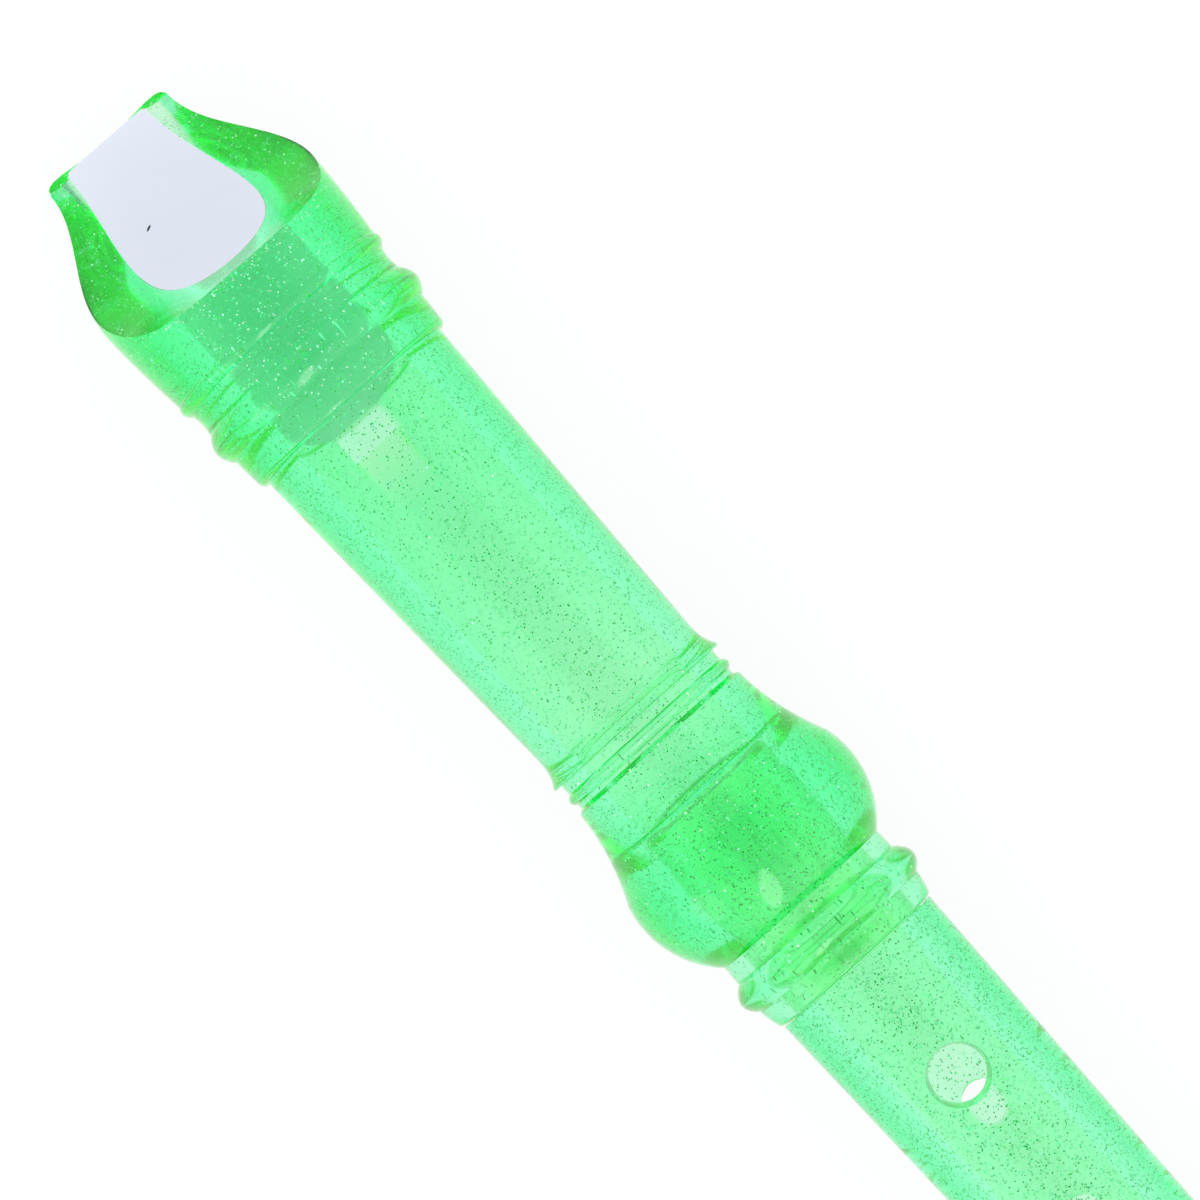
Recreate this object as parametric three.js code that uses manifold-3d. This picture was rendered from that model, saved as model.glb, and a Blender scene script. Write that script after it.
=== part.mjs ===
// A descant recorder of clear plastic lying on a table with its thumb side up.
// Its pieces are a head joint with a white block, a middle joint and a foot joint.
// Millimetres, +Z up, mouth end at -X and foot end at +X.
import * as THREE from 'three';
import { mergeVertices } from 'three/addons/utils/BufferGeometryUtils.js';
import Module from 'manifold-3d';

const wasm = await Module();
wasm.setup();

// Facets round each turned piece, with one flat at the bottom and one at the top
const facets = 36;

// Beak and barrel
const tipRounding = 1.2;
const beakTipRadius = 11.75;
const beakLength = 18.8;
const barrelRadius = 17.25;
const barrelLength = 12.5;
const barrelEndRadius = 16.4;

// Concave cut of the beak: an arc across the thumb side
const cutRadius = 26.0;
const cutDepthBelowAxis = 6.35;

// Rings at the block
const smallBeadWidth = 1.9;
const smallBeadHeight = 0.5;
const coveRadius = 15.9;
const coveLength = 3.4;
const coveDepth = 0.22;
const wideBeadWidth = 4.4;
const wideBeadHeight = 1.05;
const landRadius = 15.7;
const landLength = 3.8;
const landTaper = 0.25;
const stepLength = 1.0;

// Tube of the head
const tubeTopRadius = 14.44;
const tubeLength = 48.0;
const tubeEndRadius = 12.72;

// Rings above the bulb
const sharpRingRise = 4.1;
const sharpRingRadius = 13.7;
const sharpRingWidth = 0.4;
const sharpRingDrop = 0.15;
const grooveRadius = 12.7;
const grooveWidth = 1.4;
const roundRingWidth = 1.6;
const roundRingHeight = 0.62;
const edgeWidth = 0.65;
const edgeRiseLength = 0.6;
const bulbFlareStartRadius = 13.4;
const bulbFlareLength = 12.6;

// Bulb over the socket, neck, bead and collar
const bulbRadius = 17.125;
const bulbRounding = 13.8;
const bulbCreaseToPeak = 3.5;
const neckRadius = 12.8;
const neckEndRadius = 12.9;
const neckLength = 2.7;
const jointBeadWidth = 4.3;
const jointBeadHeight = 1.38;
const collarRadius = 13.15;
const collarLength = 2.6;
const collarEndRadius = 12.65;
const collarRounding = 0.6;

// Bores, windway, window and lip
const headBoreRadius = 9.25;
const blockClearance = 0.12;
const blockRecess = 0.3;
const blockEndSlope = 0.36;
const windwayWidth = 8.6;
const windwayFloorDepth = 8.0;
const windwayHeight = 1.3;
const windowStart = 47.5;
const windowLength = 4.2;
const rampLength = 8.9;
const lipDepth = 8.7;
const lipThickness = 0.15;
const lipPadLength = 14.0;

// How far the head is turned on its tenon, in degrees, so that the beak faces a little to +Y
const headTurn = 8;

// Upper tenon and its socket
const upperTenonRadius = 10.05;
const upperTenonLength = 27.2;
const upperSocketDepth = 28.0;
const socketConeLength = 0.5;
const tenonClearance = 0.15;
const shoulderGap = 0.2;
const tenonChamfer = 0.5;

// Middle joint
const middleTopRadius = 12.19;
const middleEndRadius = 9.75;
const middleBodyLength = 121.5;
const middleBoreTopRadius = 7.4;
const middleBoreEndRadius = 5.6;
const thumbHoleRadius = 3.65;
const thumbHoleStation = 18.3;
const fingerHoles = [
  { station: 24.2, radius: 3.0 },
  { station: 43.3, radius: 3.0 },
  { station: 61.3, radius: 3.2 },
  { station: 80.1, radius: 3.2 },
  { station: 97.7, radius: 2.9 },
];
const pairStation = 114.1;
const pairSpacing = 4.6;
const pairLargeRadius = 1.8;
const pairSmallRadius = 1.5;

// Lower tenon and the foot's socket
const lowerTenonRadius = 8.0;
const lowerTenonLength = 14.5;
const lowerSocketDepth = 15.3;

// Foot joint
const footCollarRadius = 11.0;
const footCollarLength = 3.0;
const footBeadWidth = 4.2;
const footBeadHeight = 1.3;
const footNeckLength = 1.2;
const footBarrelRadius = 12.6;
const footBarrelRise = 3.0;
const footBarrelLength = 21.9;
const footWaistRadius = 11.2;
const footRingWidth = 1.6;
const footRingHeight = 0.75;
const footRingGap = 1.0;
const footFlareLength = 18.6;
const bellCreaseRadius = 14.2;
const bellRadius = 14.9;
const bellLength = 5.6;
const bellEndRadius = 14.0;
const bellRounding = 1.0;
const footBoreRadius = 5.5;
const footBoreChamfer = 0.8;
const footPairStation = 17.5;
const footPairSpacing = 4.2;
const footPairLargeRadius = 1.7;
const footPairSmallRadius = 1.35;

// Finishes
const clearGreen = new THREE.MeshStandardMaterial({
  color: 0x5be883,
  roughness: 0.12,
  metalness: 0,
  transparent: true,
  opacity: 0.7,
});
const white = new THREE.MeshStandardMaterial({ color: 0xe6e8f2, roughness: 0.45, metalness: 0 });

// How full a round bead is: 1 is a sine hump, smaller is squarer
const beadFullness = 0.8;
// How far a cutter runs past the material that it cuts
const overcut = 1.0;

// Shapes of a run: how the radius goes from its start to its end, u from 0 to 1
const ogee = (u) => (1 - Math.cos(Math.PI * u)) / 2;
const flare = (u) => u ** 1.75;
const steepFlare = (u) => u ** 3.2;
const fall = (u) => u ** 1.6;
const quarterRound = (u) => Math.sqrt(1 - (1 - u) ** 2);
const quarterDrop = (u) => 1 - Math.sqrt(1 - u ** 2);
const straight = (u) => u;

// The outline of a turned piece: points of [station along the axis, radius]
class Outline {
  constructor(station, radius) {
    this.points = [[station, radius]];
  }

  get station() {
    return this.points.at(-1)[0];
  }

  run(length, endRadius, steps = 1, shape = straight) {
    const [station, radius] = this.points.at(-1);
    for (let step = 1; step <= steps; step += 1) {
      const u = step / steps;
      this.points.push([station + length * u, radius + (endRadius - radius) * shape(u)]);
    }
    return this;
  }

  bead(width, height, endRadius, steps) {
    const [station, radius] = this.points.at(-1);
    for (let step = 1; step <= steps; step += 1) {
      const u = step / steps;
      const rise = height * Math.max(0, Math.sin(Math.PI * u)) ** beadFullness;
      this.points.push([station + width * u, radius + (endRadius - radius) * u + rise]);
    }
    return this;
  }
}

// A closed mesh made into a solid for joining and cutting
function solid(geometry) {
  geometry.deleteAttribute('normal');
  geometry.deleteAttribute('uv');
  const merged = mergeVertices(geometry);
  return new wasm.Manifold(new wasm.Mesh({
    numProp: 3,
    vertProperties: new Float32Array(merged.attributes.position.array),
    triVerts: new Uint32Array(merged.index.array),
  }));
}

// A solid turned about +X from a loop of [station, radius] points, closed on itself or on the axis
function turned(loop) {
  const profile = loop.map(([station, radius]) => new THREE.Vector2(radius, station));
  const geometry = new THREE.LatheGeometry(profile, facets, Math.PI / facets);
  geometry.rotateZ(-Math.PI / 2);
  return solid(geometry);
}

// A tube between an outer outline and inner points, both listed from the mouth end
function turnedTube(outer, inner) {
  return turned([...outer, ...inner.toReversed(), outer[0]]);
}

// A solid of constant width across Y from an outline of [x, z] points
function prism(points, width) {
  const shape = new THREE.Shape(points.map(([x, z]) => new THREE.Vector2(x, z)));
  const geometry = new THREE.ExtrudeGeometry(shape, { depth: width, bevelEnabled: false });
  geometry.rotateX(Math.PI / 2);
  geometry.translate(0, width / 2, 0);
  return solid(geometry);
}

// A prism for the head and its block, turned as the head is
function headPrism(points, width) {
  return prism(points, width).rotate([-headTurn, 0, 0]);
}

// A drill for one wall of a tube: side 1 is the thumb side, side -1 the finger side
function drill(radius, station, side, across = 0) {
  const reach = 2 * barrelRadius;
  const sides = 16;
  const geometry = new THREE.CylinderGeometry(radius, radius, reach, sides);
  geometry.rotateX(Math.PI / 2);
  geometry.translate(station, across, side * reach / 2);
  return solid(geometry);
}

function mesh(name, shape, material) {
  const { vertProperties, triVerts } = shape.getMesh();
  const geometry = new THREE.BufferGeometry();
  geometry.setAttribute('position', new THREE.BufferAttribute(vertProperties, 3));
  geometry.setIndex(new THREE.BufferAttribute(triVerts, 1));
  geometry.computeVertexNormals();
  const piece = new THREE.Mesh(geometry, material);
  piece.name = name;
  return piece;
}

// The space above the beak's concave cut, which both the head and its block lose
function beakCut() {
  const clear = 2 * barrelRadius;
  const centreZ = cutRadius - cutDepthBelowAxis;
  const steps = 16;
  const points = [[-clear, clear], [-clear, -cutDepthBelowAxis]];
  for (let step = 0; step <= steps; step += 1) {
    const angle = (Math.PI / 2) * (step / steps);
    points.push([cutRadius * Math.sin(angle), centreZ - cutRadius * Math.cos(angle)]);
  }
  points.push([cutRadius, clear]);
  return headPrism(points, 2 * clear);
}

// Head joint, stations from the tip of the beak
const headOutline = new Outline(0, beakTipRadius - tipRounding)
  .run(tipRounding, beakTipRadius, 3, quarterRound)
  .run(beakLength, barrelRadius, 9, ogee)
  .run(barrelLength, barrelEndRadius, 3, fall)
  .bead(smallBeadWidth, smallBeadHeight, coveRadius, 5)
  .bead(coveLength, -coveDepth, coveRadius, 4)
  .bead(wideBeadWidth, wideBeadHeight, landRadius, 7)
  .run(landLength, landRadius - landTaper)
  .run(stepLength, tubeTopRadius, 4, quarterDrop);
const tubeStart = headOutline.station;
headOutline
  .run(tubeLength, tubeEndRadius)
  .run(sharpRingRise, sharpRingRadius, 5, steepFlare)
  .run(sharpRingWidth, sharpRingRadius)
  .run(sharpRingDrop, grooveRadius)
  .run(grooveWidth, grooveRadius)
  .bead(roundRingWidth, roundRingHeight, grooveRadius, 5)
  .run(edgeWidth, grooveRadius)
  .run(edgeRiseLength, bulbFlareStartRadius);
const bulbArcCentre = bulbRadius - bulbRounding;
const bulbAt = (offset) => bulbArcCentre + Math.sqrt(bulbRounding ** 2 - offset ** 2);
headOutline.run(bulbFlareLength, bulbAt(bulbCreaseToPeak), 6, flare);
const bulbPeakStation = headOutline.station + bulbCreaseToPeak;
const bulbStartAngle = -Math.asin(bulbCreaseToPeak / bulbRounding);
const bulbEndAngle = Math.acos((neckRadius - bulbArcCentre) / bulbRounding);
const bulbSteps = 10;
for (let step = 1; step <= bulbSteps; step += 1) {
  const angle = bulbStartAngle + (bulbEndAngle - bulbStartAngle) * (step / bulbSteps);
  const offset = bulbRounding * Math.sin(angle);
  headOutline.points.push([bulbPeakStation + offset, bulbAt(offset)]);
}
headOutline
  .run(neckLength, neckEndRadius)
  .bead(jointBeadWidth, jointBeadHeight, collarRadius, 7)
  .run(collarLength, collarEndRadius, 3, fall)
  .run(collarRounding, collarEndRadius - collarRounding, 2, quarterDrop);
const headLength = headOutline.station;

const upperSocketRadius = upperTenonRadius + tenonClearance;
const headInside = [
  [0, headBoreRadius],
  [headLength - upperSocketDepth - socketConeLength, headBoreRadius],
  [headLength - upperSocketDepth, upperSocketRadius],
  [headLength - tenonChamfer, upperSocketRadius],
  [headLength, upperSocketRadius + tenonChamfer],
];
const windowEnd = windowStart + windowLength;
const rampEnd = windowEnd + rampLength;
const outside = barrelRadius + overcut;
const tubeSlope = (tubeTopRadius - tubeEndRadius) / tubeLength;
const rampEndDepth = tubeTopRadius - tubeSlope * (rampEnd - tubeStart);
const windwayRoofDepth = windwayFloorDepth + windwayHeight;

// Windway channel under the roof, open at the tip and at the window
const windwayCut = headPrism([
  [-overcut, 0],
  [-overcut, -windwayRoofDepth],
  [windowStart + overcut, -windwayRoofDepth],
  [windowStart + overcut, 0],
], windwayWidth);
// Window and ramp: straight down at the window, sloping from the lip to the tube's surface
const rampRise = (rampEndDepth - lipDepth) / rampLength;
const rampOvershoot = 3 * overcut;
const windowCut = headPrism([
  [windowStart, 0],
  [windowStart, -outside],
  [rampEnd + rampOvershoot, -outside],
  [rampEnd + rampOvershoot, -(rampEndDepth + rampRise * rampOvershoot)],
  [windowEnd, -lipDepth],
  [windowEnd, 0],
], windwayWidth);
// Flat pad under the lip, which fades into the bore
const lipPadRoot = headBoreRadius + overcut;
const lipPad = headPrism([
  [windowEnd, -(lipDepth - lipThickness)],
  [windowEnd, -lipPadRoot],
  [windowEnd + lipPadLength, -lipPadRoot],
  [windowEnd + lipPadLength, -headBoreRadius],
], windwayWidth);

const headJoint = mesh(
  'head_joint',
  turnedTube(headOutline.points, headInside)
    .add(lipPad)
    .subtract(beakCut())
    .subtract(windwayCut)
    .subtract(windowCut),
  clearGreen,
);

// Block: a round plug that takes the beak's cut, with a flat for the windway's floor and a
// slanting end that is longest at the window
const blockRadius = headBoreRadius - blockClearance;
const blockEndHeight = 2 * outside;
const blockEndCut = headPrism([
  [windowStart + blockEndSlope * overcut, -windwayFloorDepth - overcut],
  [windowStart - blockEndSlope * blockEndHeight, blockEndHeight - windwayFloorDepth],
  [windowStart + outside, blockEndHeight - windwayFloorDepth],
  [windowStart + outside, -windwayFloorDepth - overcut],
], 2 * outside);
const windwayFloorCut = headPrism([
  [-overcut, -windwayFloorDepth],
  [-overcut, -outside],
  [windowStart + outside, -outside],
  [windowStart + outside, -windwayFloorDepth],
], 2 * outside);
const fippleBlock = mesh(
  'fipple_block',
  turned([
    [blockRecess, 0],
    [blockRecess, blockRadius],
    [windowStart + overcut, blockRadius],
    [windowStart + overcut, 0],
  ])
    .subtract(beakCut())
    .subtract(blockEndCut)
    .subtract(windwayFloorCut),
  white,
);

// Middle joint, stations from its upper shoulder
const middleOutline = new Outline(-upperTenonLength, upperTenonRadius - tenonChamfer)
  .run(tenonChamfer, upperTenonRadius)
  .run(upperTenonLength - tenonChamfer, upperTenonRadius)
  .run(0, middleTopRadius)
  .run(middleBodyLength, middleEndRadius)
  .run(0, lowerTenonRadius)
  .run(lowerTenonLength - tenonChamfer, lowerTenonRadius)
  .run(tenonChamfer, lowerTenonRadius - tenonChamfer);
const middleInside = [
  [-upperTenonLength, middleBoreTopRadius],
  [middleBodyLength + lowerTenonLength, middleBoreEndRadius],
];
let middleShape = turnedTube(middleOutline.points, middleInside)
  .subtract(drill(thumbHoleRadius, thumbHoleStation, 1));
for (const { station, radius } of fingerHoles) {
  middleShape = middleShape.subtract(drill(radius, station, -1));
}
middleShape = middleShape
  .subtract(drill(pairLargeRadius, pairStation, -1, pairSpacing / 2))
  .subtract(drill(pairSmallRadius, pairStation, -1, -pairSpacing / 2));
const middleJoint = mesh('middle_joint', middleShape, clearGreen);

// Foot joint, stations from its upper edge
const footOutline = new Outline(0, footCollarRadius - collarRounding)
  .run(collarRounding, footCollarRadius, 2, quarterRound)
  .run(footCollarLength - collarRounding, footCollarRadius)
  .bead(footBeadWidth, footBeadHeight, footCollarRadius, 7)
  .run(footNeckLength, footCollarRadius)
  .run(footBarrelRise, footBarrelRadius, 4, quarterRound)
  .run(footBarrelLength, footWaistRadius, 4, fall)
  .bead(footRingWidth, footRingHeight, footWaistRadius, 4)
  .run(footRingGap, footWaistRadius)
  .bead(footRingWidth, footRingHeight, footWaistRadius, 4)
  .run(footFlareLength, bellCreaseRadius, 6, flare)
  .bead(bellLength, bellRadius - (bellCreaseRadius + bellEndRadius) / 2, bellEndRadius, 7)
  .run(bellRounding, bellEndRadius - bellRounding, 3, quarterDrop);
const footLength = footOutline.station;
const lowerSocketRadius = lowerTenonRadius + tenonClearance;
const footInside = [
  [0, lowerSocketRadius + tenonChamfer],
  [tenonChamfer, lowerSocketRadius],
  [lowerSocketDepth, lowerSocketRadius],
  [lowerSocketDepth, footBoreRadius],
  [footLength - footBoreChamfer, footBoreRadius],
  [footLength, footBoreRadius + footBoreChamfer],
];
const footJoint = mesh(
  'foot_joint',
  turnedTube(footOutline.points, footInside)
    .subtract(drill(footPairLargeRadius, footPairStation, -1, footPairSpacing / 2))
    .subtract(drill(footPairSmallRadius, footPairStation, -1, -footPairSpacing / 2)),
  clearGreen,
);

// The joints in line, lying on the barrel, with the origin under the middle of their length
middleJoint.position.x = headLength + shoulderGap;
footJoint.position.x = middleJoint.position.x + middleBodyLength + shoulderGap;
const totalLength = footJoint.position.x + footLength;
const axisHeight = barrelRadius * Math.cos(Math.PI / facets);
const recorder = new THREE.Group();
recorder.add(headJoint, fippleBlock, middleJoint, footJoint);
recorder.position.set(-totalLength / 2, 0, axisHeight);

export default recorder;
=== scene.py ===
"""A descant recorder of clear green plastic with glitter in it, lying with its thumb side up.

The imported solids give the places; the pieces here are modelled round them in metres.
"""

import math
import random

import bmesh
import bpy
import numpy as np
from mathutils import Matrix, Vector


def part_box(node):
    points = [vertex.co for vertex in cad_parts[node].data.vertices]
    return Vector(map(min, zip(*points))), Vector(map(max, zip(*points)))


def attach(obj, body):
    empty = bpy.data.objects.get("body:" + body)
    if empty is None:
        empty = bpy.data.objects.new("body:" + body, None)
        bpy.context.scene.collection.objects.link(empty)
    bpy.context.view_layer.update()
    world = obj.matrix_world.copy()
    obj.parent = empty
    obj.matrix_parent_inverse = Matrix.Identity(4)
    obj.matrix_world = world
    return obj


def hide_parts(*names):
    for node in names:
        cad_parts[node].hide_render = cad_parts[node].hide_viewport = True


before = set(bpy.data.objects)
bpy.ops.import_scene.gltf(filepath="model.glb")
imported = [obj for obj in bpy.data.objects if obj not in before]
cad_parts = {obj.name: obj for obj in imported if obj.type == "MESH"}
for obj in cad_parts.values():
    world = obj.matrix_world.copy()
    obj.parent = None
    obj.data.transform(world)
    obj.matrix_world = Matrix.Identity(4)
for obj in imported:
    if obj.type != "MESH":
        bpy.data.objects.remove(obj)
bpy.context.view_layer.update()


# Head joint. One moulding of clear green plastic: beak, barrel, rings, tube, bulb and socket.
# It is turned from its outline, hollow, and its beak, windway, window and lip are then cut.
MM = 0.001
TURNED_SIDES, CUT_SIDES = 144, 360

tip_rounding = 1.2
beak_tip_radius = 11.75
beak_length = 18.8
barrel_radius = 17.25
barrel_length = 12.5
barrel_end_radius = 16.4
small_bead_width, small_bead_height = 1.9, 0.5
cove_radius, cove_length, cove_depth = 15.9, 3.4, 0.22
wide_bead_width, wide_bead_height = 4.4, 1.05
land_radius, land_length, land_taper = 15.7, 3.8, 0.25
step_length = 1.0
tube_top_radius, tube_length, tube_end_radius = 14.44, 48.0, 12.72
sharp_ring_rise, sharp_ring_radius = 4.1, 13.7
sharp_ring_width, sharp_ring_drop = 0.4, 0.15
groove_radius, groove_width = 12.7, 1.4
round_ring_width, round_ring_height = 1.6, 0.62
edge_width, edge_rise_length = 0.65, 0.6
bulb_flare_start_radius, bulb_flare_length = 13.4, 12.6
bulb_radius, bulb_rounding, bulb_crease_to_peak = 17.125, 13.8, 3.5
neck_radius, neck_end_radius, neck_length = 12.8, 12.9, 2.7
joint_bead_width, joint_bead_height = 4.3, 1.38
collar_radius, collar_length, collar_end_radius = 13.15, 2.6, 12.65
collar_rounding = 0.6
head_bore_radius = 9.25
upper_socket_radius, upper_socket_depth, socket_chamfer = 10.2, 28.0, 0.5
socket_cone_length = 0.5
head_turn = math.radians(8)
cut_radius, cut_depth_below_axis = 26.0, 6.35
windway_width, windway_floor_depth, windway_height = 8.6, 8.0, 1.3
window_start, window_length, ramp_length = 47.5, 4.2, 8.9
lip_depth, lip_thickness, lip_pad_length = 8.7, 0.15, 14.0
overcut = 1.0
same_place, same_point = 0.01, 0.001

axis_height = (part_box("middle_joint")[0].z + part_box("middle_joint")[1].z) / 2
head_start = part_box("head_joint")[0].x


def straight(u):
    return u


def ogee(u):
    return (1 - math.cos(math.pi * u)) / 2


def flare(u):
    return u**1.75


def steep_flare(u):
    return u**3.2


def fall(u):
    return u**1.6


def quarter_round(u):
    return math.sqrt(1 - (1 - u) ** 2)


def quarter_drop(u):
    return 1 - math.sqrt(max(0.0, 1 - u**2))


class Outline:
    """The outline of a turned piece: points of (station along the axis, radius) in mm."""

    bead_fullness = 0.8

    def __init__(self, station, radius):
        self.points = [(station, radius)]

    @property
    def station(self):
        return self.points[-1][0]

    def run(self, length, end_radius, steps=1, shape=straight):
        station, radius = self.points[-1]
        for step in range(1, steps + 1):
            u = step / steps
            self.points.append((station + length * u, radius + (end_radius - radius) * shape(u)))
        return self

    def bead(self, width, height, end_radius, steps):
        station, radius = self.points[-1]
        for step in range(1, steps + 1):
            u = step / steps
            rise = height * max(0.0, math.sin(math.pi * u)) ** self.bead_fullness
            self.points.append((station + width * u, radius + (end_radius - radius) * u + rise))
        return self


def in_edit_mode(piece):
    bpy.ops.object.select_all(action="DESELECT")
    piece.select_set(True)
    bpy.context.view_layer.objects.active = piece
    bpy.ops.object.mode_set(mode="EDIT")
    bpy.ops.mesh.select_mode(type="VERT")
    bpy.ops.mesh.select_all(action="SELECT")


def draw_points(name, places):
    """A new mesh in edit mode: one vertex extruded from place to place, in metres."""
    bpy.ops.object.select_all(action="DESELECT")
    bpy.ops.mesh.primitive_plane_add(size=MM)
    piece = bpy.context.object
    piece.name = piece.data.name = name
    in_edit_mode(piece)
    bpy.ops.mesh.merge(type="CENTER")
    bpy.ops.transform.translate(value=places[0])
    for here, there in zip(places, places[1:]):
        bpy.ops.mesh.extrude_region_move(TRANSFORM_OT_translate={"value": there - here})
    return piece


def turn(name, start, loop):
    """A piece turned about the recorder's axis from a closed loop of (station, radius) in mm."""
    places = [Vector((start + station * MM, 0, axis_height + radius * MM)) for station, radius in loop]
    piece = draw_points(name, [*places, places[0]])
    bpy.ops.mesh.select_all(action="SELECT")
    bpy.ops.mesh.remove_doubles(threshold=same_point * MM)
    bpy.ops.mesh.spin(
        steps=TURNED_SIDES, angle=math.tau, center=(0, 0, axis_height), axis=(1, 0, 0)
    )
    bpy.ops.mesh.select_all(action="SELECT")
    bpy.ops.mesh.remove_doubles(threshold=same_point * MM)
    bpy.ops.mesh.normals_make_consistent(inside=False)
    bpy.ops.object.mode_set(mode="OBJECT")
    return piece


def prism(name, start, outline, width):
    """A cutter of constant width across Y from an outline of (station, height over the axis) in mm."""
    places = [
        Vector((start + station * MM, -width * MM / 2, axis_height + height * MM))
        for station, height in outline
    ]
    piece = draw_points(name, places)
    bpy.ops.mesh.select_all(action="SELECT")
    bpy.ops.mesh.edge_face_add()
    bpy.ops.mesh.extrude_region_move(TRANSFORM_OT_translate={"value": (0, width * MM, 0)})
    bpy.ops.mesh.select_all(action="SELECT")
    bpy.ops.mesh.normals_make_consistent(inside=False)
    bpy.ops.object.mode_set(mode="OBJECT")
    return piece


def with_the_head(piece):
    """Turn a cutter about the recorder's axis, as the head is turned on its tenon."""
    about_axis = Matrix.Translation((0, 0, axis_height)) @ Matrix.Rotation(-head_turn, 4, "X")
    piece.data.transform(about_axis @ Matrix.Translation((0, 0, -axis_height)))
    return piece


def combine(piece, tool, operation):
    """Cut the tool out of the piece, or join it on, and put the tool away."""
    bpy.ops.object.select_all(action="DESELECT")
    piece.select_set(True)
    bpy.context.view_layer.objects.active = piece
    modifier = piece.modifiers.new("combine", "BOOLEAN")
    modifier.operation = operation
    modifier.solver = "EXACT"
    modifier.object = tool
    bpy.ops.object.modifier_apply(modifier=modifier.name)
    bpy.data.meshes.remove(tool.data)


cut_centre = Vector((head_start, 0, axis_height)) + Matrix.Rotation(-head_turn, 3, "X") @ Vector(
    (0, 0, (cut_radius - cut_depth_below_axis) * MM)
)


def beak_cut():
    """The round cutter of the beak's thumb side, which the shell and its block both lose."""
    bpy.ops.object.select_all(action="DESELECT")
    bpy.ops.mesh.primitive_cylinder_add(
        vertices=CUT_SIDES,
        radius=cut_radius * MM,
        depth=4 * barrel_radius * MM,
        location=(head_start, 0, axis_height + (cut_radius - cut_depth_below_axis) * MM),
        rotation=(math.pi / 2, 0, 0),
    )
    bpy.ops.object.transform_apply()
    return with_the_head(bpy.context.object)


def select_edges(piece, wanted):
    """In edit mode, select the edges whose two ends are both wanted."""
    in_edit_mode(piece)
    bpy.ops.mesh.select_all(action="DESELECT")
    bpy.ops.mesh.select_mode(type="EDGE")
    shape = bmesh.from_edit_mesh(piece.data)
    on_place = {vertex: wanted(vertex.co) for vertex in shape.verts}
    for edge in shape.edges:
        if on_place[edge.verts[0]] and on_place[edge.verts[1]]:
            edge.select = True
    shape.select_flush_mode()
    bmesh.update_edit_mesh(piece.data)


def from_axis(place):
    """How far a place is from the recorder's axis, in mm."""
    return math.hypot(place.y, place.z - axis_height) / MM


def smooth(piece, angle=32):
    """Smooth shading over the turned and rounded faces, with the sharp edges kept."""
    bpy.ops.object.select_all(action="DESELECT")
    piece.select_set(True)
    bpy.context.view_layer.objects.active = piece
    bpy.ops.object.shade_smooth_by_angle(angle=math.radians(angle))


head_outline = (
    Outline(0, beak_tip_radius - tip_rounding)
    .run(tip_rounding, beak_tip_radius, 8, quarter_round)
    .run(beak_length, barrel_radius, 26, ogee)
    .run(barrel_length, barrel_end_radius, 14, fall)
    .bead(small_bead_width, small_bead_height, cove_radius, 14)
    .bead(cove_length, -cove_depth, cove_radius, 8)
    .bead(wide_bead_width, wide_bead_height, land_radius, 20)
    .run(land_length, land_radius - land_taper)
    .run(step_length, tube_top_radius, 8, quarter_drop)
)
tube_start = head_outline.station
(
    head_outline.run(tube_length, tube_end_radius, 12)
    .run(sharp_ring_rise, sharp_ring_radius, 14, steep_flare)
    .run(sharp_ring_width, sharp_ring_radius)
    .run(sharp_ring_drop, groove_radius)
    .run(groove_width, groove_radius)
    .bead(round_ring_width, round_ring_height, groove_radius, 12)
    .run(edge_width, groove_radius)
    .run(edge_rise_length, bulb_flare_start_radius)
)
bulb_arc_centre = bulb_radius - bulb_rounding


def bulb_at(offset):
    return bulb_arc_centre + math.sqrt(bulb_rounding**2 - offset**2)


head_outline.run(bulb_flare_length, bulb_at(bulb_crease_to_peak), 18, flare)
bulb_crease = head_outline.station
bulb_peak = bulb_crease + bulb_crease_to_peak
bulb_start_angle = -math.asin(bulb_crease_to_peak / bulb_rounding)
bulb_end_angle = math.acos((neck_radius - bulb_arc_centre) / bulb_rounding)
bulb_steps = 28
for step in range(1, bulb_steps + 1):
    angle = bulb_start_angle + (bulb_end_angle - bulb_start_angle) * step / bulb_steps
    offset = bulb_rounding * math.sin(angle)
    head_outline.points.append((bulb_peak + offset, bulb_at(offset)))
(
    head_outline.run(neck_length, neck_end_radius)
    .bead(joint_bead_width, joint_bead_height, collar_radius, 20)
    .run(collar_length, collar_end_radius, 8, fall)
    .run(collar_rounding, collar_end_radius - collar_rounding, 5, quarter_drop)
)
head_length = head_outline.station
head_inside = [
    (head_length, upper_socket_radius + socket_chamfer),
    (head_length - socket_chamfer, upper_socket_radius),
    (head_length - upper_socket_depth, upper_socket_radius),
    (head_length - upper_socket_depth - socket_cone_length, head_bore_radius),
    (0, head_bore_radius),
]
clear_head = turn("clear_head", head_start, head_outline.points + head_inside)

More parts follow.
